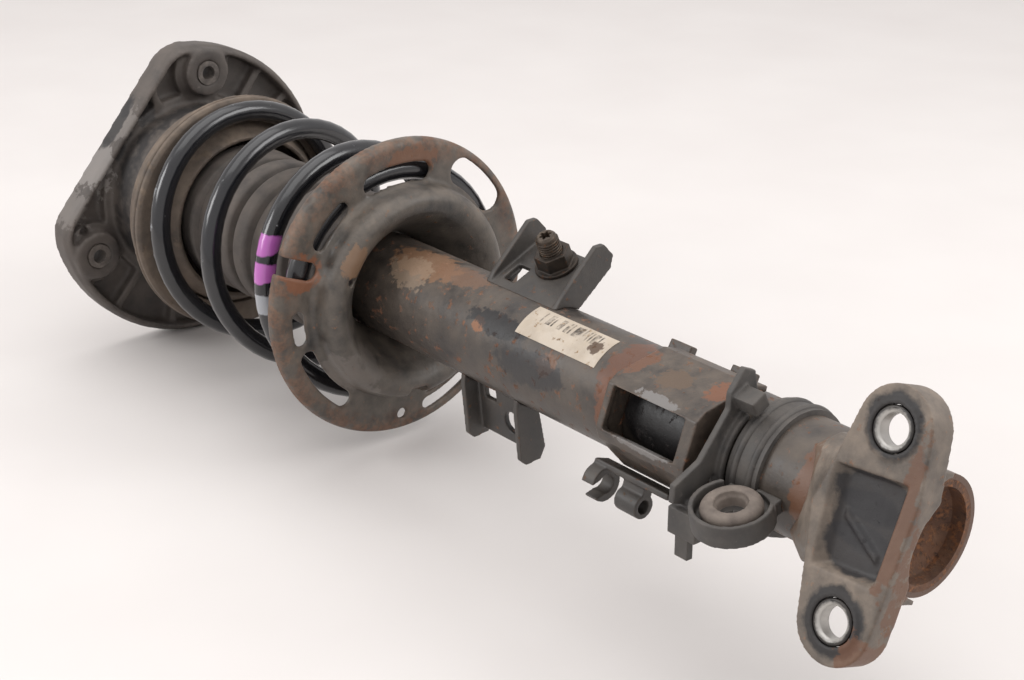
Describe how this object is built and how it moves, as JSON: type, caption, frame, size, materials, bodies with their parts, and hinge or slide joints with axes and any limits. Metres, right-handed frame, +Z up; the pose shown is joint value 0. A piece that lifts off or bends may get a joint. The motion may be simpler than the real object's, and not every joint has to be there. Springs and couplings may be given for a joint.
{
  "type": "suspension strut",
  "caption": "Automotive front suspension strut: damper tube with coil spring, dust boot, turning top mount, pressed spring seat, link brackets and an eared knuckle bracket.",
  "frame": {"origin": "centre of the top mount's bolt circle, on its mounting face", "axes": "+X along the damper axis from the top mount to the wheel end, +Z up with the strut lying on its side, -Y and up by 20 degrees towards the knuckle"},
  "size_m": [0.615, 0.1863, 0.1879],
  "materials": {
    "tube_paint": "dusty satin black-grey paint with rust spots",
    "rusty_steel": "bare steel with dark and orange rust",
    "bright_steel": "ground",
    "sintered_metal": "sintered, matt",
    "seal_rubber": "matt",
    "seat_paint": "black paint lifting over orange rust",
    "bracket_paint": "dusty satin black paint",
    "zinc_steel": "dull zinc plating",
    "dark_fastener": "black phosphate with brown bloom",
    "pocket_steel": "dusty worn paint with rust at the welds",
    "dusty_bracket": "worn paint under a film of road dust",
    "holder_plastic": "moulded, matt",
    "band_rubber": "matt",
    "grommet_rubber": "dusty matt",
    "label_film": "aged white film",
    "spring_coating": "glossy black coating, chipped",
    "boot_rubber": "dusty matt",
    "seat_moulding": "dusty brown moulding",
    "insulator_rubber": "dusty matt",
    "cast_mount": "dusty as-cast surface",
    "chrome_rod": "hard chrome, polished",
    "bump_foam": "microcellular foam",
    "slide_band": "filled PTFE"
  },
  "bodies": {
    "damper": {"damper_tube": "tube_paint", "tube_end_cap": "rusty_steel", "pressure_tube": "bright_steel", "base_valve": "sintered_metal", "rod_guide": "sintered_metal", "rod_seal": "seal_rubber", "bump_cap": "tube_paint", "lower_spring_seat": "seat_paint", "lower_seat_pad": "seal_rubber", "link_bracket_upper": "bracket_paint", "link_bracket_lower": "bracket_paint", "link_ball_joint": "zinc_steel", "link_nut": "dark_fastener", "knuckle_pocket": "pocket_steel", "pocket_tabs": "pocket_steel", "knuckle_bracket": "dusty_bracket", "knuckle_collars": "bright_steel", "hose_bracket": "bracket_paint", "lead_holder": "holder_plastic", "lead_holder_bands": "band_rubber", "lead_grommet": "grommet_rubber", "type_label": "label_film", "coil_spring": "spring_coating", "dust_boot": "boot_rubber"},
    "spring_top": {"upper_spring_seat": "seat_moulding", "spring_insulator": "insulator_rubber", "bearing_lower_race": "bright_steel"},
    "ball_set": {"bearing_balls": "bright_steel"},
    "top_mount": {"mount_housing": "cast_mount", "mount_sleeves": "rusty_steel", "mount_rubber": "seal_rubber", "mount_core": "bright_steel", "bearing_upper_race": "bright_steel", "mount_washer": "zinc_steel", "rod_nut": "zinc_steel", "piston_rod": "chrome_rod", "bump_stop": "bump_foam", "rebound_stop": "seal_rubber", "piston": "sintered_metal", "piston_band": "slide_band", "piston_nut": "zinc_steel"}
  },
  "joints": [
    {"name": "damper_stroke", "type": "slide", "parent": "damper", "child": "spring_top", "axis": [1, 0, 0], "range_m": [0, 0.07], "stiffness_N_per_m": 20000, "springref_m": -0.01, "deforming": ["coil_spring", "dust_boot"]},
    {"name": "ball_roll", "type": "hinge", "parent": "spring_top", "child": "ball_set", "pos_m": [0.046, 0, 0], "axis": [1, 0, 0], "range_deg": [-20, 20]},
    {"name": "steer_swivel", "type": "hinge", "parent": "spring_top", "child": "top_mount", "pos_m": [0.046, 0, 0], "axis": [1, 0, 0], "range_deg": [-40, 40]}
  ],
  "couplings": [
    {"joint": "ball_roll", "follows": "steer_swivel", "ratio": 0.5}
  ]
}
